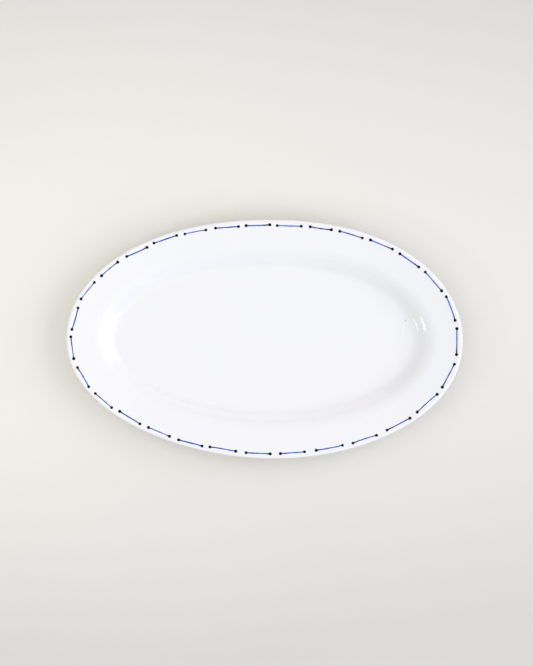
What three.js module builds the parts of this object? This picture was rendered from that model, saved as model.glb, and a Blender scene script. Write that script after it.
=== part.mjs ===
// China serving platter: an oval of glazed porcelain with a broad rim and a shallow well, a foot
// ring under the well, and a hand-painted border of blue strokes with a dot at each end.
//
// Millimetres, +Z up, +X along the platter's length. The origin is at the centre of the plane
// that the foot ring stands on. An inset is a distance inward from the outer edge, seen from
// above, and a height is a distance above that plane.

import * as THREE from "three";

// Overall size
const LENGTH = 360;
const WIDTH = 217;
const HEIGHT = 24;
const HALF_LENGTH = LENGTH / 2;
const HALF_WIDTH = WIDTH / 2;

// Outline, seen from above: an oval a little squarer than an ellipse, whose edge wavers by hand.
// Each wave has a number of lobes, a size, and a turn in degrees.
const SQUARENESS = 2.05;
const EDGE_WAVES = [
  { lobes: 3, size: 1.2, turn: -172 },
  { lobes: 5, size: 0.5, turn: 97 },
];

// Rim
const LIP_RADIUS = 2.2;
const LIP_STEP = THREE.MathUtils.degToRad(15);
const RIM_WIDTH = 22;
const RIM_MIDDLE = 10;
const RIM_MIDDLE_HEIGHT = 22.25;
const RIM_INNER_HEIGHT = 20.6;
const RIM_THICKNESS = 4.75;

// Well: the wall curves from the rim's inner edge down to the flat floor. A curve bends towards
// two points, its upper one in line with the rim and its lower one in line with the floor.
const FLOOR_INSET = 45.6;
const FLOOR_HEIGHT = 9;
const WALL_UPPER_BEND = { inset: 35.2, height: 18.79 };
const WALL_LOWER_BEND = 36.6;

// Underside of the well, down to the flat seat that the foot ring is joined to
const SEAT_INSET = 45.5;
const SEAT_HEIGHT = 4;
const UNDER_RIM_WIDTH = 21.4;
const UNDER_UPPER_BEND = { inset: 32.2, height: 14.4 };
const UNDER_LOWER_BEND = 34.8;

// Foot ring, whose standing face is narrower than the root that joins the body
const FOOT_ROOT = { outer: 47, inner: 54 };
const FOOT_FACE = { outer: 49, inner: 52 };
const FOOT_ROUND = 0.8;

// Painted border. The strokes follow the rim, crowding together on one side and spreading out on
// the other, and each fills the same share of its own spacing. The painter's hand then scatters
// every stroke a little, up to these distances either way, which keep its dots off the lip's curve.
const STROKES = 30;
const BORDER_INSET = 4.6;
const BORDER_START = 18.4;
const CROWDING = [
  { lobes: 1, size: 11, turn: 145 },
  { lobes: 2, size: 2.5, turn: 35 },
];
const STROKE_SHARE = 0.72;
const STROKE_LEAN = -0.3;
const SCATTER = { place: 0.8, length: 1.5, inset: 0.5, lean: 0.8 };
const SCATTER_SEED = 3;
const DOT_RADIUS = 1.3;
const LINE_WIDTH = 1.1;
const LINE_STEPS = 5;
const ENAMEL_THICKNESS = 0.15;
const ENAMEL_LIFT = 0.06;

// Fineness of the faceted solids
const SEGMENTS_AROUND = 96;
const EDGE_SAMPLES = 720;
const FIT_STEPS = 30;

const CLEAR_GLAZE = new THREE.MeshStandardMaterial({ color: 0xf1f2f5, roughness: 0.12, metalness: 0 });
const BARE_CLAY = new THREE.MeshStandardMaterial({ color: 0xe9e4da, roughness: 0.75, metalness: 0 });
const COBALT = new THREE.MeshStandardMaterial({ color: 0x1b2f86, roughness: 0.2, metalness: 0 });

// The sum of some waves at an angle.
function sumWaves(waves, angle) {
  const wave = ({ lobes, size, turn }) => size * Math.cos(lobes * angle + THREE.MathUtils.degToRad(turn));
  return waves.reduce((sum, each) => sum + wave(each), 0);
}

// A power that keeps its base's sign, which a superellipse needs.
function signedPower(base, exponent) {
  return Math.sign(base) * Math.abs(base) ** exponent;
}

// A point of the plan before it is centred. Each ring keeps one distance from the edge as far in
// as the foot ring, and further in the rings shrink evenly to the middle.
function rawPlanPoint(angle, inset) {
  const ring = Math.min(inset, FOOT_ROOT.inner);
  const shrink = (HALF_WIDTH - inset) / (HALF_WIDTH - ring);
  const x = (HALF_LENGTH - ring) * signedPower(Math.cos(angle), 2 / SQUARENESS);
  const y = (HALF_WIDTH - ring) * signedPower(Math.sin(angle), 2 / SQUARENESS);
  const edge = Math.hypot(HALF_LENGTH * Math.cos(angle), HALF_WIDTH * Math.sin(angle));
  return new THREE.Vector2(x, y).multiplyScalar(shrink * (1 + sumWaves(EDGE_WAVES, angle) / edge));
}

// The middle of the wavering outline, which becomes the origin of the plan.
function outlineMiddle() {
  const box = new THREE.Box2();
  for (let i = 0; i < EDGE_SAMPLES; i++) {
    box.expandByPoint(rawPlanPoint((2 * Math.PI * i) / EDGE_SAMPLES, 0));
  }
  return box.getCenter(new THREE.Vector2());
}

const MIDDLE = outlineMiddle();

function planPoint(angle, inset) {
  return rawPlanPoint(angle, inset).sub(MIDDLE);
}

// The inset of a point of the plan that lies outside the floor.
function insetAt(x, y) {
  const raw = new THREE.Vector2(x, y).add(MIDDLE);
  let [near, far] = [0, FLOOR_INSET];
  for (let i = 0; i < FIT_STEPS; i++) {
    const inset = (near + far) / 2;
    const angle = Math.atan2(
      signedPower(raw.y / (HALF_WIDTH - inset), SQUARENESS / 2),
      signedPower(raw.x / (HALF_LENGTH - inset), SQUARENESS / 2),
    );
    if (rawPlanPoint(angle, inset).length() > raw.length()) near = inset;
    else far = inset;
  }
  return near;
}

// A point of a cross-section, for a lathe of the platter's half-width.
function at(inset, height) {
  return new THREE.Vector2(HALF_WIDTH - inset, height);
}

// The points of curves that follow each other, each given with its number of steps.
function joinCurves(curves) {
  const points = [curves[0].curve.getPoint(0)];
  for (const { curve, steps } of curves) points.push(...curve.getPoints(steps).slice(1));
  return points;
}

// Part of the round lip, between two whole steps up from the horizontal
function lipArc(from, to) {
  const centre = at(LIP_RADIUS, HEIGHT - LIP_RADIUS);
  const curve = new THREE.EllipseCurve(
    centre.x,
    centre.y,
    LIP_RADIUS,
    LIP_RADIUS,
    from * LIP_STEP,
    to * LIP_STEP,
  );
  return { curve, steps: to - from };
}

// From the middle of the underside out to the lip's outermost line
function undersideCurves() {
  const lip = lipArc(-5, 0);
  const seatEdge = at(SEAT_INSET, SEAT_HEIGHT);
  const lowerBend = at(UNDER_LOWER_BEND, SEAT_HEIGHT);
  const upperBend = at(UNDER_UPPER_BEND.inset, UNDER_UPPER_BEND.height);
  const rimInner = at(UNDER_RIM_WIDTH, RIM_INNER_HEIGHT - RIM_THICKNESS);
  const rimMiddle = at(RIM_MIDDLE, RIM_MIDDLE_HEIGHT - RIM_THICKNESS);
  return [
    { curve: new THREE.LineCurve(at(HALF_WIDTH, SEAT_HEIGHT), seatEdge), steps: 1 },
    { curve: new THREE.CubicBezierCurve(seatEdge, lowerBend, upperBend, rimInner), steps: 8 },
    { curve: new THREE.QuadraticBezierCurve(rimInner, rimMiddle, lip.curve.getPoint(0)), steps: 4 },
    lip,
  ];
}

// From the lip's outermost line in over the rim and down the wall to the floor
function topCurves() {
  const lip = lipArc(0, 7);
  const rimMiddle = at(RIM_MIDDLE, RIM_MIDDLE_HEIGHT);
  const rimInner = at(RIM_WIDTH, RIM_INNER_HEIGHT);
  const upperBend = at(WALL_UPPER_BEND.inset, WALL_UPPER_BEND.height);
  const lowerBend = at(WALL_LOWER_BEND, FLOOR_HEIGHT);
  const floorEdge = at(FLOOR_INSET, FLOOR_HEIGHT);
  return [
    lip,
    { curve: new THREE.QuadraticBezierCurve(lip.curve.getPoint(1), rimMiddle, rimInner), steps: 5 },
    { curve: new THREE.CubicBezierCurve(rimInner, upperBend, lowerBend, floorEdge), steps: 10 },
  ];
}

// Turns a cross-section about +Z, then draws each of its rings out to its oval.
function ovalLathe(section) {
  const geometry = new THREE.LatheGeometry(section, SEGMENTS_AROUND).rotateX(Math.PI / 2);
  const position = geometry.getAttribute("position");
  for (let i = 0; i < position.count; i++) {
    const x = position.getX(i);
    const y = position.getY(i);
    const point = planPoint(Math.atan2(y, x), HALF_WIDTH - Math.hypot(x, y));
    position.setXY(i, point.x, point.y);
  }
  return geometry;
}

function namedMesh(name, geometry, material) {
  const mesh = new THREE.Mesh(geometry, material);
  mesh.name = name;
  return mesh;
}

// The fired body: rim, wall and floor in one
function platterBody() {
  const floor = new THREE.LineCurve(at(FLOOR_INSET, FLOOR_HEIGHT), at(HALF_WIDTH, FLOOR_HEIGHT));
  const section = joinCurves([...undersideCurves(), ...topCurves(), { curve: floor, steps: 1 }]);
  return namedMesh("platter_body", ovalLathe(section), CLEAR_GLAZE);
}

// A rounded corner of the foot ring, from its side round to its standing face
function footCorner(face, inward) {
  const curve = new THREE.QuadraticBezierCurve(
    at(face + inward * FOOT_ROUND, FOOT_ROUND),
    at(face, 0),
    at(face - inward * FOOT_ROUND, 0),
  );
  return curve.getPoints(3);
}

// The oval strip that is luted under the floor
function footRing() {
  const section = [
    at(FOOT_ROOT.inner, SEAT_HEIGHT),
    ...footCorner(FOOT_FACE.inner, 1),
    ...footCorner(FOOT_FACE.outer, -1).reverse(),
    at(FOOT_ROOT.outer, SEAT_HEIGHT),
    at(FOOT_ROOT.inner, SEAT_HEIGHT),
  ];
  return namedMesh("foot_ring", ovalLathe(section), BARE_CLAY);
}

// The closed line that the border follows, from the left end round by the near side
class BorderLine extends THREE.Curve {
  getPoint(t) {
    return planPoint(Math.PI * (2 * t - 1), BORDER_INSET);
  }
}

// How far along the border a stroke's middle lies, before the painter's scatter.
function strokeMiddle(perimeter, stroke) {
  const share = stroke / STROKES;
  return BORDER_START + perimeter * share + sumWaves(CROWDING, 2 * Math.PI * share);
}

// The next random distance, up to a reach either way.
function scatter(reach) {
  return reach * (2 * THREE.MathUtils.seededRandom() - 1);
}

// Where the dots at a stroke's two ends lie on the plan.
function strokeEnds(border, stroke) {
  const perimeter = border.getLength();
  const spacing = (strokeMiddle(perimeter, stroke + 1) - strokeMiddle(perimeter, stroke - 1)) / 2;
  const middle = strokeMiddle(perimeter, stroke) + scatter(SCATTER.place);
  const length = STROKE_SHARE * spacing + scatter(SCATTER.length);
  const shift = scatter(SCATTER.inset);
  const lean = STROKE_LEAN + scatter(SCATTER.lean);
  return [-1, 1].map((side) => {
    const share = THREE.MathUtils.euclideanModulo((middle + (side * length) / 2) / perimeter, 1);
    const along = border.getTangentAt(share);
    const inward = new THREE.Vector2(-along.y, along.x);
    return border.getPointAt(share).addScaledVector(inward, shift + (side * lean) / 2);
  });
}

// A stroke's outline along +X from its first dot: two dots joined by a thin straight line
function strokeOutline(length) {
  const neck = Math.asin(LINE_WIDTH / 2 / DOT_RADIUS);
  const reach = DOT_RADIUS * Math.cos(neck);
  const outline = new THREE.Shape();
  outline.absarc(0, 0, DOT_RADIUS, neck, 2 * Math.PI - neck);
  for (let i = 1; i < LINE_STEPS; i++) {
    outline.lineTo(THREE.MathUtils.lerp(reach, length - reach, i / LINE_STEPS), -LINE_WIDTH / 2);
  }
  outline.absarc(length, 0, DOT_RADIUS, neck - Math.PI, Math.PI - neck);
  for (let i = LINE_STEPS - 1; i > 0; i--) {
    outline.lineTo(THREE.MathUtils.lerp(reach, length - reach, i / LINE_STEPS), LINE_WIDTH / 2);
  }
  return outline;
}

// The height of the rim at an inset, on the straight facets between a section's points.
function rimHeight(section, inset) {
  const radius = HALF_WIDTH - inset;
  const i = section.findIndex((point) => point.x <= radius);
  const [outer, inner] = [section[i - 1], section[i]];
  return THREE.MathUtils.mapLinear(radius, outer.x, inner.x, outer.y, inner.y);
}

// One painted stroke: a film of fired-on colour that lies along the rim
function brushStroke(border, section, stroke) {
  const [start, end] = strokeEnds(border, stroke);
  const reach = end.clone().sub(start);
  const geometry = new THREE.ExtrudeGeometry(strokeOutline(reach.length()), {
    depth: ENAMEL_THICKNESS,
    bevelEnabled: false,
    curveSegments: 4,
  });
  geometry.rotateZ(reach.angle()).translate(start.x, start.y, ENAMEL_LIFT);
  const position = geometry.getAttribute("position");
  for (let i = 0; i < position.count; i++) {
    const inset = insetAt(position.getX(i), position.getY(i));
    position.setZ(i, position.getZ(i) + rimHeight(section, inset));
  }
  const number = String(stroke + 1).padStart(2, "0");
  return namedMesh(`brush_stroke_${number}`, geometry, COBALT);
}

// The thirty strokes, in order round the rim
function paintedBorder() {
  const border = new BorderLine();
  border.arcLengthDivisions = EDGE_SAMPLES;
  const section = joinCurves(topCurves());
  const strokes = new THREE.Group();
  THREE.MathUtils.seededRandom(SCATTER_SEED);
  for (let stroke = 0; stroke < STROKES; stroke++) {
    strokes.add(brushStroke(border, section, stroke));
  }
  return strokes;
}

const platter = new THREE.Group();
platter.add(platterBody(), footRing(), paintedBorder());

export default platter;
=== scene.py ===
"""Finishes the china serving platter in Blender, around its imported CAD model.

Metres, in the CAD model's frame: +Z is up and +X runs along the platter's length. An inset is
a distance inward from the outer edge, seen from above. Angles go round the plan from +X.
"""

import math

import bmesh
import bpy
import numpy as np
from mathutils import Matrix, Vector


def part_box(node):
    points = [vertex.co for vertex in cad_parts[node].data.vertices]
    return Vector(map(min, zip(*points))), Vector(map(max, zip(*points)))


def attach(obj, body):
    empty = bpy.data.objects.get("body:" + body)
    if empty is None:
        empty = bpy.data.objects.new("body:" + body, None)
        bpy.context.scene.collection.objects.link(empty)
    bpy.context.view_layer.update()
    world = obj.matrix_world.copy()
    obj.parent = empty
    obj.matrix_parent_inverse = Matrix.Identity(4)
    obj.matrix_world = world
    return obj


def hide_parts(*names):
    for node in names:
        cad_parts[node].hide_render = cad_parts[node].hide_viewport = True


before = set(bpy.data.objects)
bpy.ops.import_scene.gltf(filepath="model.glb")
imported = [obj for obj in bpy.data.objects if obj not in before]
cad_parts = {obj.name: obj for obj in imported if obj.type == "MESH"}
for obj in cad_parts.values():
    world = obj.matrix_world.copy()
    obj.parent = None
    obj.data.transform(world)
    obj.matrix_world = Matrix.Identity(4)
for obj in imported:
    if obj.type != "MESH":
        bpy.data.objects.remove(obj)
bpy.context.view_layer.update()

MM = 0.001

# The frame. The finished outline is rounder than the CAD facets, and is trimmed to stay in them.
BODY_LOW, BODY_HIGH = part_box("platter_body")
TRIM = 0.06 * MM
HALF_LENGTH = (BODY_HIGH.x - BODY_LOW.x) / 2 - TRIM
HALF_WIDTH = (BODY_HIGH.y - BODY_LOW.y) / 2 - TRIM
RIM_HEIGHT = BODY_HIGH.z
SEAT_HEIGHT = BODY_LOW.z

# Outline: an oval a little squarer than an ellipse, whose edge wavers by hand. A wave is its
# number of lobes round the platter, its size, and its turn in degrees.
SQUARENESS = 2.05
EDGE_WAVES = [(3, 1.2 * MM, -172), (5, 0.5 * MM, 97)]

# Rim and well
LIP_RADIUS = 2.2 * MM
LIP_SLOPE = 15
RIM_WIDTH = 22 * MM
RIM_MIDDLE = 10 * MM
RIM_MIDDLE_HEIGHT = 22.25 * MM
RIM_INNER_HEIGHT = 20.6 * MM
RIM_THICKNESS = 4.75 * MM
FLOOR_INSET = 45.6 * MM
FLOOR_HEIGHT = SEAT_HEIGHT + 5 * MM
SEAT_INSET = 45.5 * MM
UNDER_RIM_WIDTH = 21.4 * MM

# The two points, one in line with the rim and one with the floor, that each wall bends towards
WALL_BENDS = [(35.2 * MM, 18.79 * MM), (36.6 * MM, FLOOR_HEIGHT)]
UNDER_BENDS = [(34.8 * MM, SEAT_HEIGHT), (32.2 * MM, 14.4 * MM)]

# Foot ring
FOOT_ROOT_OUTER = 47 * MM
FOOT_ROOT_INNER = 54 * MM
FOOT_FACE_OUTER = 49 * MM
FOOT_FACE_INNER = 52 * MM
FOOT_ROUND = 0.8 * MM
GLAZE_EDGE_HEIGHT = 0.9 * MM

# What the potter's hand and wheel leave behind: a slight warp, and faint rings on the wall
WARP_WAVES = [(2, 0.07 * MM, 40), (3, 0.04 * MM, -65)]
WARP_DROP = 0.11 * MM
WALL_RING_PITCH = 2.6 * MM
WALL_RING_DEPTH = 0.018 * MM
WALL_RINGS_FADE_IN = (24 * MM, 30 * MM)
WALL_RINGS_FADE_OUT = (38 * MM, 48 * MM)

# Painted strokes
DOT_RADIUS = 1.3 * MM
LINE_HALF_WIDTH = 0.55 * MM
FILM_THICKNESS = 0.035 * MM
FILM_DEPTH = 0.02 * MM
DOT_SPREAD = (0.98, 1.14)
LINE_WOBBLE = 0.10
LINE_SPREAD = 0.12
LINE_BOW = 0.25 * MM
DAB_SHIFT = 0.2 * MM
LINE_PIGMENT = (0.2, 0.48)
FIRST_END_PIGMENT = (0.4, 0.6)
PIGMENT_STREAK = 0.07
EDGE_PALENESS = 0.12
STROKES = sorted(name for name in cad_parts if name.startswith("brush_stroke"))

# The dark speck in the glaze of the floor
SPECK_PLACE = (129.6 * MM, 18.3 * MM, FLOOR_HEIGHT)
SPECK_RADIUS = 1.3 * MM

# Fineness of the meshes
AROUND = 384
FLOOR_STEPS = 24
LIP_STEPS = 22
LIP_INNER_STEPS = 4
RIM_STEPS = 24
WALL_STEPS = 64
UNDER_RIM_STEPS = 16
UNDER_WALL_STEPS = 24
ACROSS_STROKE = 9
FIT_STEPS = 40

# The camera looks straight down. The platter's outline lies level with the lip's middle.
VIEW_HEIGHT = 605.1 * MM
CAMERA_DISTANCE = 1000 * MM
CAMERA_CENTRE = (1.7 * MM, 5.5 * MM)
CAMERA_TURN = 0.67
SENSOR_HEIGHT = 24
FLOOR_SIZE = 6.0


def sum_waves(waves, angle):
    """The sum of some waves at an angle."""
    return sum(size * np.cos(lobes * angle + math.radians(turn)) for lobes, size, turn in waves)


def signed_power(base, exponent):
    """A power that keeps its base's sign, which a superellipse needs."""
    return np.sign(base) * np.abs(base) ** exponent


def smooth_step(low, high, value):
    """0 below low, 1 above high, and a smooth ramp between them."""
    share = np.clip((value - low) / (high - low), 0, 1)
    return share * share * (3 - 2 * share)


def raw_plan(angle, inset):
    """Points of the plan before it is centred, as the CAD model's rings lie."""
    ring = np.minimum(inset, FOOT_ROOT_INNER)
    shrink = (HALF_WIDTH - inset) / (HALF_WIDTH - ring)
    x = (HALF_LENGTH - ring) * signed_power(np.cos(angle), 2 / SQUARENESS)
    y = (HALF_WIDTH - ring) * signed_power(np.sin(angle), 2 / SQUARENESS)
    edge = np.hypot(HALF_LENGTH * np.cos(angle), HALF_WIDTH * np.sin(angle))
    scale = shrink * (1 + sum_waves(EDGE_WAVES, angle) / edge)
    return np.stack([x * scale, y * scale], axis=-1)


def outline_middle():
    """The middle of the wavering outline, which is the plan's origin."""
    outline = raw_plan(np.linspace(0, 2 * np.pi, 720, endpoint=False), 0.0)
    return (outline.min(axis=0) + outline.max(axis=0)) / 2


MIDDLE = outline_middle()


def plan(angle, inset):
    """Points of the plan at some angles and insets."""
    return raw_plan(angle, inset) - MIDDLE


def angle_and_inset(points):
    """The angle and the inset of points of the plan that lie outside the floor."""
    raw = points + MIDDLE
    near = np.zeros(len(raw))
    far = np.full(len(raw), FLOOR_INSET)
    for _ in range(FIT_STEPS):
        inset = (near + far) / 2
        angle = np.arctan2(
            signed_power(raw[:, 1] / (HALF_WIDTH - inset), SQUARENESS / 2),
            signed_power(raw[:, 0] / (HALF_LENGTH - inset), SQUARENESS / 2),
        )
        outside = np.linalg.norm(raw_plan(angle, inset), axis=1) > np.linalg.norm(raw, axis=1)
        near = np.where(outside, inset, near)
        far = np.where(outside, far, inset)
    return angle, near


def bezier(controls, steps):
    """Points along a Bezier curve, from its start, with its last point left out."""
    share = np.linspace(0, 1, steps, endpoint=False)[:, None]
    level = [np.array(control, float)[None, :] for control in controls]
    while len(level) > 1:
        level = [a + (b - a) * share for a, b in zip(level, level[1:])]
    return level[0]


def lip_arc(start, end, steps):
    """Points round the lip between two angles up from the horizontal, the last one left out."""
    angle = np.radians(np.linspace(start, end, steps, endpoint=False))
    inset = LIP_RADIUS * (1 - np.cos(angle))
    height = RIM_HEIGHT - LIP_RADIUS * (1 - np.sin(angle))
    return np.stack([inset, height], axis=1)


def floor_insets(edge, steps):
    """Insets of rings across the flat floor, from near its middle out to its edge."""
    return np.linspace(HALF_WIDTH * 0.99, edge, steps, endpoint=False)


def underside_section():
    """From the middle of the underside out over the round of the lip to its crest."""
    flat = floor_insets(SEAT_INSET, FLOOR_STEPS)
    rim_inner = (UNDER_RIM_WIDTH, RIM_INNER_HEIGHT - RIM_THICKNESS)
    rim_middle = (RIM_MIDDLE, RIM_MIDDLE_HEIGHT - RIM_THICKNESS)
    lip = lip_arc(LIP_SLOPE - 90, 90, LIP_STEPS)
    seat_edge = (SEAT_INSET, SEAT_HEIGHT)
    return np.concatenate([
        np.stack([flat, np.full(len(flat), SEAT_HEIGHT)], axis=1),
        bezier([seat_edge, *UNDER_BENDS, rim_inner], UNDER_WALL_STEPS),
        bezier([rim_inner, rim_middle, lip[0]], UNDER_RIM_STEPS),
        lip,
    ])


def top_section():
    """From the lip's crest in over the rim and down the wall to the middle of the floor."""
    lip = lip_arc(90, 90 + LIP_SLOPE, LIP_INNER_STEPS)
    lip_end = lip_arc(90 + LIP_SLOPE, 180, 1)[0]
    rim_inner = (RIM_WIDTH, RIM_INNER_HEIGHT)
    floor_edge = (FLOOR_INSET, FLOOR_HEIGHT)
    flat = floor_insets(FLOOR_INSET, FLOOR_STEPS)[::-1]
    return np.concatenate([
        lip,
        bezier([lip_end, (RIM_MIDDLE, RIM_MIDDLE_HEIGHT), rim_inner], RIM_STEPS),
        bezier([rim_inner, *WALL_BENDS, floor_edge], WALL_STEPS),
        [floor_edge],
        np.stack([flat, np.full(len(flat), FLOOR_HEIGHT)], axis=1),
    ])


TOP = top_section()


def warp(angle, inset):
    """How far the kiln has lowered the body, which is nothing at the foot."""
    raised = 1 - smooth_step(0, SEAT_INSET, inset)
    return raised * (sum_waves(WARP_WAVES, angle) - WARP_DROP)


def wall_rings(angle, inset):
    """The faint rings that the wheel leaves on the well's wall."""
    on_wall = smooth_step(*WALL_RINGS_FADE_IN, inset) * (1 - smooth_step(*WALL_RINGS_FADE_OUT, inset))
    phase = 2 * np.pi * inset / WALL_RING_PITCH + 0.8 * np.sin(angle + 1) + 0.5 * np.sin(2 * angle)
    return WALL_RING_DEPTH * on_wall * np.sin(phase)


def top_height(angle, inset):
    """The height of the platter's top face."""
    return np.interp(inset, TOP[:, 0], TOP[:, 1]) + warp(angle, inset) + wall_rings(angle, inset)


def rings_of(section, lift):
    """One ring of points round the platter for each point of a section."""
    angle = np.linspace(0, 2 * np.pi, AROUND, endpoint=False)[None, :]
    inset = np.repeat(section[:, :1], AROUND, axis=1)
    height = section[:, 1:] + lift(angle, inset)
    return np.dstack([plan(angle, inset), height])


def ring_mesh(name, rings, capped):
    """A smooth closed mesh of rings joined in order. Its two ends are capped, or join up."""
    count, size, _ = rings.shape
    vertices = rings.reshape(-1, 3).tolist()
    faces = []
    for k in range(count - 1 if capped else count):
        near = k * size
        far = (k + 1) % count * size
        for i in range(size):
            j = (i + 1) % size
            faces.append((near + i, near + j, far + j, far + i))
    if capped:
        for start in (0, (count - 1) * size):
            vertices.append(rings[start // size].mean(axis=0).tolist())
            middle = len(vertices) - 1
            faces += [(start + i, start + (i + 1) % size, middle) for i in range(size)]
    mesh = bpy.data.meshes.new(name)
    mesh.from_pydata(vertices, [], faces)
    tidy = bmesh.new()
    tidy.from_mesh(mesh)
    bmesh.ops.recalc_face_normals(tidy, faces=tidy.faces)
    tidy.to_mesh(mesh)
    tidy.free()
    mesh.shade_smooth()
    return mesh


def add_piece(name, mesh, material, node):
    """Puts a finished piece in place of a CAD node."""
    mesh.materials.append(material)
    piece = bpy.data.objects.new(name, mesh)
    bpy.context.scene.collection.objects.link(piece)
    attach(piece, "root")
    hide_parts(node)
    return piece


def porcelain_body(material):
    """The fired body, from the middle of its underside round to the middle of its floor."""
    under = rings_of(underside_section(), warp)
    top = rings_of(TOP, lambda angle, inset: warp(angle, inset) + wall_rings(angle, inset))
    mesh = ring_mesh("porcelain_body", np.concatenate([under, top]), capped=True)
    add_piece("porcelain_body", mesh, material, "platter_body")


def luted_foot(material):
    """The foot ring, with rounded edges at the face that it stands on."""
    corner = [(-FOOT_ROUND, FOOT_ROUND), (0, 0), (FOOT_ROUND, 0)]
    outer = [(FOOT_FACE_OUTER + inset, height) for inset, height in corner]
    inner = [(FOOT_FACE_INNER - inset, height) for inset, height in reversed(corner)]
    root_outer = (FOOT_ROOT_OUTER, SEAT_HEIGHT)
    root_inner = (FOOT_ROOT_INNER, SEAT_HEIGHT)
    section = np.concatenate([
        bezier([root_outer, outer[0]], 10),
        bezier(outer, 8),
        bezier([outer[-1], inner[0]], 4),
        bezier(inner, 8),
        bezier([inner[-1], root_inner], 10),
        bezier([root_inner, root_outer], 4),
    ])
    mesh = ring_mesh("luted_foot", rings_of(section, lambda angle, inset: 0 * angle), capped=False)
    mesh.set_sharp_from_angle(angle=math.radians(50))
    add_piece("luted_foot", mesh, material, "foot_ring")


def stroke_ends(node):
    """Where a CAD stroke's two dots lie on the plan, in order round the platter."""
    points = np.array([vertex.co[:2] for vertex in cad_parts[node].data.vertices])
    middle = (points.min(axis=0) + points.max(axis=0)) / 2
    along = np.linalg.svd(points - points.mean(axis=0))[2][0]
    if middle[0] * along[1] < middle[1] * along[0]:
        along = -along
    reach = (points - middle) @ along
    return middle + along * (reach.min() + DOT_RADIUS), middle + along * (reach.max() - DOT_RADIUS)


def stations_along(length, radii):
    """Places along a stroke, closest together in the dots at its ends."""
    round_dot = np.cos(np.linspace(np.pi, 0, 15))
    line = np.linspace(radii[0], length - radii[1], 30)[1:-1]
    first = round_dot * radii[0]
    last = length + round_dot * radii[1]
    return np.concatenate([first, line, last])[1:-1]


def film_half_width(stations, length, radii, random):
    """Half the film's width along a stroke: a round dot, a thin line and another dot."""
    first = np.sqrt(np.maximum(radii[0] ** 2 - stations ** 2, 0))
    last = np.sqrt(np.maximum(radii[1] ** 2 - (stations - length) ** 2, 0))
    share = stations / length
    wobble = LINE_WOBBLE * np.sin(2 * np.pi * (share * random.uniform(1, 3) + random.random()))
    line = LINE_HALF_WIDTH * (1.0 + wobble + random.uniform(-LINE_SPREAD, LINE_SPREAD))
    line = line * smooth_step(0, radii[0], stations) * smooth_step(0, radii[1], length - stations)
    return (first ** 3 + last ** 3 + line ** 3) ** (1 / 3)


def film_pigment(stations, across, length, radii, random):
    """How dense the colour is: darkest in the dots, and paler along the line from the first dot."""
    from_dots = np.minimum(np.abs(stations) / radii[0], np.abs(length - stations) / radii[1])
    in_dots = 1 - smooth_step(0.8, 2.2, from_dots)
    share = np.clip(stations / length, 0, 1)
    pooled = random.uniform(*LINE_PIGMENT) + random.uniform(*FIRST_END_PIGMENT) * (1 - share) ** 2
    streaks = PIGMENT_STREAK * np.sin(2 * np.pi * (share * 4 + random.random()))
    density = in_dots + (1 - in_dots) * (pooled + streaks)
    return density[:, None] * (1 - EDGE_PALENESS * across[None, :] ** 2)


def painted_stroke(node, number, material):
    """A film of fired-on colour on the rim, with the unevenness of a brush."""
    random = np.random.default_rng(number)
    start, end = stroke_ends(node)
    length = np.linalg.norm(end - start)
    along = (end - start) / length
    left = np.array([-along[1], along[0]])
    radii = DOT_RADIUS * random.uniform(*DOT_SPREAD, 2)

    stations = stations_along(length, radii)
    half = film_half_width(stations, length, radii, random)
    share = stations / length
    bow = random.uniform(-LINE_BOW, LINE_BOW) * 4 * share * (1 - share)
    dabs = random.uniform(-DAB_SHIFT, DAB_SHIFT, 2)
    at_dots = (1 - smooth_step(1, 3, np.abs(stations) / radii[0])) * dabs[0]
    at_dots += (1 - smooth_step(1, 3, np.abs(length - stations) / radii[1])) * dabs[1]
    middle = bow * ((share > 0) & (share < 1)) + at_dots

    across = np.linspace(-1, 1, ACROSS_STROKE)
    loop = np.concatenate([across, across[-2:0:-1]])
    crown = 1 - loop ** 2
    crown[:len(across)] *= FILM_THICKNESS
    crown[len(across):] *= -FILM_DEPTH
    side = middle[:, None] + half[:, None] * loop[None, :]
    plan_points = start + stations[:, None, None] * along + side[:, :, None] * left
    angle, inset = angle_and_inset(plan_points.reshape(-1, 2))
    height = top_height(angle, inset).reshape(side.shape)
    thin_at_ends = np.minimum(half / LINE_HALF_WIDTH, 1)[:, None]
    rings = np.dstack([plan_points, height + crown[None, :] * thin_at_ends])

    name = f"painted_stroke_{number:02d}"
    mesh = ring_mesh(name, rings, capped=True)
    mesh.set_sharp_from_angle(angle=math.radians(60))
    pigment = mesh.attributes.new("pigment", "FLOAT", "POINT")
    dense = film_pigment(stations, loop, length, radii, random).ravel()
    pigment.data.foreach_set("value", np.append(dense, [1.0, 1.0]).astype(np.float32))
    add_piece(name, mesh, material, node)


def new_material(name):
    """A material with an empty surface, its node tree and its Principled shader."""
    material = bpy.data.materials.new(name)
    material.use_nodes = True
    tree = material.node_tree
    return material, tree, tree.nodes["Principled BSDF"]


def add_node(tree, kind, settings=None, **inputs):
    """Adds a node. Settings are its own properties, and inputs are socket values or links."""
    node = tree.nodes.new(kind)
    for name, value in (settings or {}).items():
        setattr(node, name, value)
    for name, value in inputs.items():
        socket = node.inputs[name.replace("_", " ")]
        if isinstance(value, bpy.types.NodeSocket):
            tree.links.new(value, socket)
        else:
            socket.default_value = value
    return node


def ramp(tree, factor, stops):
    """A colour ramp with (place, colour) stops, and its output socket."""
    node = add_node(tree, "ShaderNodeValToRGB", Fac=factor)
    elements = node.color_ramp.elements
    while len(elements) < len(stops):
        elements.new(0.5)
    for element, (place, colour) in zip(elements, stops):
        element.position = place
        element.color = (*colour, 1)
    return node.outputs["Color"]


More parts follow.
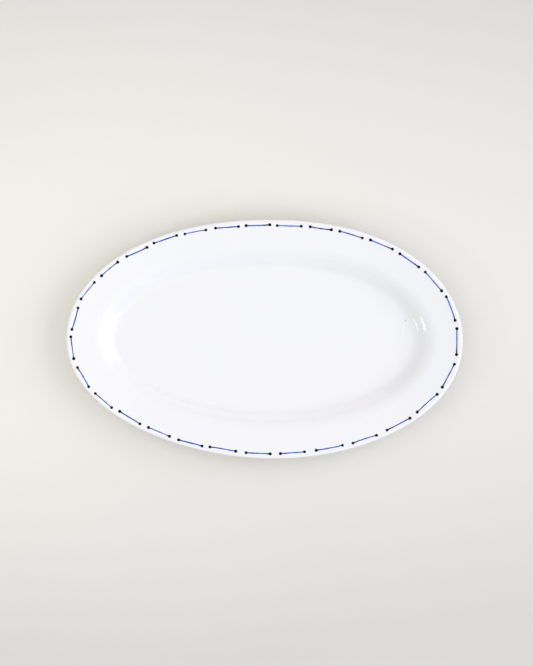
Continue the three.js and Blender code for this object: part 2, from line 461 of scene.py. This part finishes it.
def noise(tree, scale, detail=2.0, roughness=0.5):
    """Noise over the object's own space, with features about 1 / scale metres across."""
    place = add_node(tree, "ShaderNodeTexCoord").outputs["Object"]
    sizes = {"Scale": scale, "Detail": detail, "Roughness": roughness}
    return add_node(tree, "ShaderNodeTexNoise", Vector=place, **sizes).outputs["Fac"]


def between(tree, value, low, high):
    """Maps a value from 0..1 to low..high."""
    node = add_node(tree, "ShaderNodeMapRange", Value=value)
    node.inputs["To Min"].default_value = low
    node.inputs["To Max"].default_value = high
    return node.outputs["Result"]


def bump(tree, height, distance, normal=None):
    """A bump of a real depth in metres."""
    node = add_node(tree, "ShaderNodeBump", Height=height, Distance=distance, Strength=1.0)
    if normal is not None:
        tree.links.new(normal, node.inputs["Normal"])
    return node.outputs["Normal"]


def mix_colours(tree, factor, first, second):
    """A mix of two colours, each a value or a link."""
    node = tree.nodes.new("ShaderNodeMix")
    node.data_type = "RGBA"
    sockets = {"Factor": factor, "A": first, "B": second}
    for socket in node.inputs:
        value = sockets.get(socket.name)
        if value is None or socket.type not in ("VALUE" if socket.name == "Factor" else "RGBA"):
            continue
        if isinstance(value, bpy.types.NodeSocket):
            tree.links.new(value, socket)
        else:
            socket.default_value = value
    return next(socket for socket in node.outputs if socket.type == "RGBA")


def away_from(tree, centre, scale=(1, 1, 1)):
    """How far the object's own space lies from a point, with its axes scaled first."""
    here = add_node(tree, "ShaderNodeTexCoord").outputs["Object"]
    offset = add_node(tree, "ShaderNodeVectorMath", {"operation": "SUBTRACT"})
    tree.links.new(here, offset.inputs[0])
    offset.inputs[1].default_value = centre
    scaled = add_node(tree, "ShaderNodeVectorMath", {"operation": "MULTIPLY"})
    tree.links.new(offset.outputs["Vector"], scaled.inputs[0])
    scaled.inputs[1].default_value = scale
    length = add_node(tree, "ShaderNodeVectorMath", {"operation": "LENGTH"})
    tree.links.new(scaled.outputs["Vector"], length.inputs[0])
    return length.outputs["Value"]


def speck(tree, place, radius):
    """1 in a small round mark at a place, fading to 0 at its edge."""
    fade = add_node(tree, "ShaderNodeMapRange", Value=away_from(tree, place))
    fade.inputs["From Min"].default_value = radius
    fade.inputs["From Max"].default_value = radius / 3
    return fade.outputs["Result"]


def clear_glaze():
    """Cool white porcelain under a clear, glossy glaze with a faint orange-peel surface."""
    material, tree, shader = new_material("clear_glaze")
    cloudy = ramp(tree, noise(tree, 14, 3), [(0.3, (0.855, 0.868, 0.895)), (0.7, (0.875, 0.882, 0.900))])
    mark = speck(tree, SPECK_PLACE, SPECK_RADIUS)
    colour = mix_colours(tree, mark, cloudy, (0.62, 0.63, 0.68, 1))
    tree.links.new(colour, shader.inputs["Base Color"])
    tree.links.new(between(tree, noise(tree, 60, 2), 0.07, 0.13), shader.inputs["Roughness"])
    slow = bump(tree, noise(tree, 45, 1), 0.05 * MM)
    peel = bump(tree, noise(tree, 600, 1), 0.003 * MM, slow)
    tree.links.new(peel, shader.inputs["Normal"])
    shader.inputs["IOR"].default_value = 1.5
    return material


def foot_clay():
    """Glaze down the sides of the foot, wiped off in an uneven line at the bare standing face."""
    material, tree, shader = new_material("foot_clay")
    place = add_node(tree, "ShaderNodeTexCoord").outputs["Object"]
    height = add_node(tree, "ShaderNodeSeparateXYZ", Vector=place).outputs["Z"]
    uneven = between(tree, noise(tree, 70, 3), -0.5 * MM, 0.5 * MM)
    level = add_node(tree, "ShaderNodeMath", {"operation": "ADD"})
    tree.links.new(height, level.inputs[0])
    tree.links.new(uneven, level.inputs[1])
    glazed = add_node(tree, "ShaderNodeMapRange", Value=level.outputs["Value"])
    glazed.inputs["From Min"].default_value = GLAZE_EDGE_HEIGHT - 0.1 * MM
    glazed.inputs["From Max"].default_value = GLAZE_EDGE_HEIGHT + 0.1 * MM
    clay = ramp(tree, noise(tree, 500, 6, 0.7), [(0.3, (0.66, 0.60, 0.50)), (0.7, (0.78, 0.73, 0.64))])
    covered = glazed.outputs["Result"]
    tree.links.new(mix_colours(tree, covered, clay, (0.86, 0.87, 0.895, 1)), shader.inputs["Base Color"])
    tree.links.new(between(tree, covered, 0.85, 0.12), shader.inputs["Roughness"])
    grain = bump(tree, noise(tree, 2500, 4, 0.7), 0.03 * MM)
    tree.links.new(grain, shader.inputs["Normal"])
    return material


def cobalt_enamel():
    """Cobalt that runs from a thin wash to near black where it pools, under the glaze's gloss."""
    material, tree, shader = new_material("cobalt_enamel")
    pigment = add_node(tree, "ShaderNodeAttribute", {"attribute_name": "pigment"}).outputs["Fac"]
    grain = between(tree, noise(tree, 1800, 4, 0.6), -0.1, 0.1)
    density = add_node(tree, "ShaderNodeMath", {"operation": "ADD"})
    tree.links.new(pigment, density.inputs[0])
    tree.links.new(grain, density.inputs[1])
    colour = ramp(tree, density.outputs["Value"], [
        (0.0, (0.12, 0.32, 0.85)),
        (0.35, (0.018, 0.12, 0.60)),
        (0.65, (0.004, 0.035, 0.33)),
        (0.85, (0.001, 0.005, 0.08)),
        (1.0, (0.001, 0.002, 0.02)),
    ])
    tree.links.new(colour, shader.inputs["Base Color"])
    tree.links.new(between(tree, noise(tree, 900, 2), 0.15, 0.3), shader.inputs["Roughness"])
    shader.inputs["Specular IOR Level"].default_value = 0.2
    return material


def backdrop():
    """A pale floor with painted light: its colour is painted a little darker further away from the
    platter, as painted shade standing in for the fall of the light across it.
    """
    material, tree, shader = new_material("pale_floor_painted_falloff")
    # Painted light: the floor is painted brightest near the platter's left end and painted darker
    # further out, like a pool of light. The mottle is a random tone.
    away = away_from(tree, (-0.145, 0.042, 0), (0.47, 1, 1))
    mottle = between(tree, noise(tree, 3, 2), -0.02, 0.02)
    place = add_node(tree, "ShaderNodeMath", {"operation": "ADD"})
    tree.links.new(away, place.inputs[0])
    tree.links.new(mottle, place.inputs[1])
    shade = ramp(tree, place.outputs["Value"], [
        (0.0, (0.845, 0.835, 0.785)),
        (0.12, (0.825, 0.815, 0.768)),
        (0.22, (0.765, 0.757, 0.718)),
        (0.34, (0.675, 0.665, 0.640)),
        (1.0, (0.64, 0.635, 0.615)),
    ])
    tree.links.new(shade, shader.inputs["Base Color"])
    shader.inputs["Roughness"].default_value = 0.9
    shader.inputs["Specular IOR Level"].default_value = 0.1
    half = FLOOR_SIZE / 2
    corners = [(-half, -half, 0), (half, -half, 0), (half, half, 0), (-half, half, 0)]
    mesh = bpy.data.meshes.new("floor")
    mesh.from_pydata(corners, [], [(0, 1, 2, 3)])
    mesh.materials.append(material)
    floor = bpy.data.objects.new("floor", mesh)
    bpy.context.scene.collection.objects.link(floor)


def overhead_camera():
    """Looks straight down on the platter from above."""
    data = bpy.data.cameras.new("camera")
    data.sensor_fit = "VERTICAL"
    data.sensor_height = SENSOR_HEIGHT
    data.lens = SENSOR_HEIGHT * CAMERA_DISTANCE / VIEW_HEIGHT
    camera = bpy.data.objects.new("camera", data)
    outline_height = RIM_HEIGHT - LIP_RADIUS
    camera.location = (*CAMERA_CENTRE, outline_height + CAMERA_DISTANCE)
    camera.rotation_euler = (0, 0, math.radians(CAMERA_TURN))
    bpy.context.scene.collection.objects.link(camera)
    bpy.context.scene.camera = camera


def soft_light(name, azimuth, elevation, distance, size, colour, power):
    """A rectangular light that faces the platter. Its azimuth and its elevation are in degrees, its
    distance and its size in metres, and its power in watts."""
    data = bpy.data.lights.new(name, "AREA")
    data.shape = "RECTANGLE"
    data.size, data.size_y = size
    data.color = colour
    data.energy = power
    light = bpy.data.objects.new(name, data)
    turn, rise = math.radians(azimuth), math.radians(elevation)
    towards = Vector((math.cos(rise) * math.cos(turn), math.cos(rise) * math.sin(turn), math.sin(rise)))
    light.location = towards * distance
    light.rotation_euler = towards.to_track_quat("Z", "Y").to_euler()
    bpy.context.scene.collection.objects.link(light)
    return light


def daylight_studio():
    """A pale room: a broad cool window on the right, a warm fill and a lamp on the left, and a low
    warm light behind the platter with a low cool one in front."""
    soft_light("window", azimuth=0, elevation=32, distance=1.8, size=(2.4, 1.4),
               colour=(0.91, 0.88, 1.0), power=21)
    fill = soft_light("left_light", azimuth=180, elevation=60, distance=0.9, size=(1.0, 0.8),
                      colour=(1.0, 0.87, 0.82), power=2.1)
    fill.visible_glossy = False
    soft_light("back_light", azimuth=90, elevation=12, distance=1.8, size=(1.6, 0.45),
               colour=(1.0, 0.7, 0.6), power=1.8)
    soft_light("front_light", azimuth=270, elevation=12, distance=1.8, size=(1.6, 0.45),
               colour=(0.6, 0.8, 1.0), power=1.2)
    soft_light("lamp", azimuth=203, elevation=29, distance=1.5, size=(0.4, 0.09),
               colour=(1.0, 1.0, 1.0), power=1.3)
    world = bpy.data.worlds.new("room")
    world.use_nodes = True
    sky = world.node_tree.nodes["Background"]
    sky.inputs["Color"].default_value = (0.97, 1.0, 0.99, 1)
    sky.inputs["Strength"].default_value = 0.66
    bpy.context.scene.world = world
    bpy.context.scene.view_settings.view_transform = "Standard"


overhead_camera()
daylight_studio()
backdrop()
porcelain_body(clear_glaze())
luted_foot(foot_clay())
enamel = cobalt_enamel()
for number, node in enumerate(STROKES, start=1):
    painted_stroke(node, number, enamel)
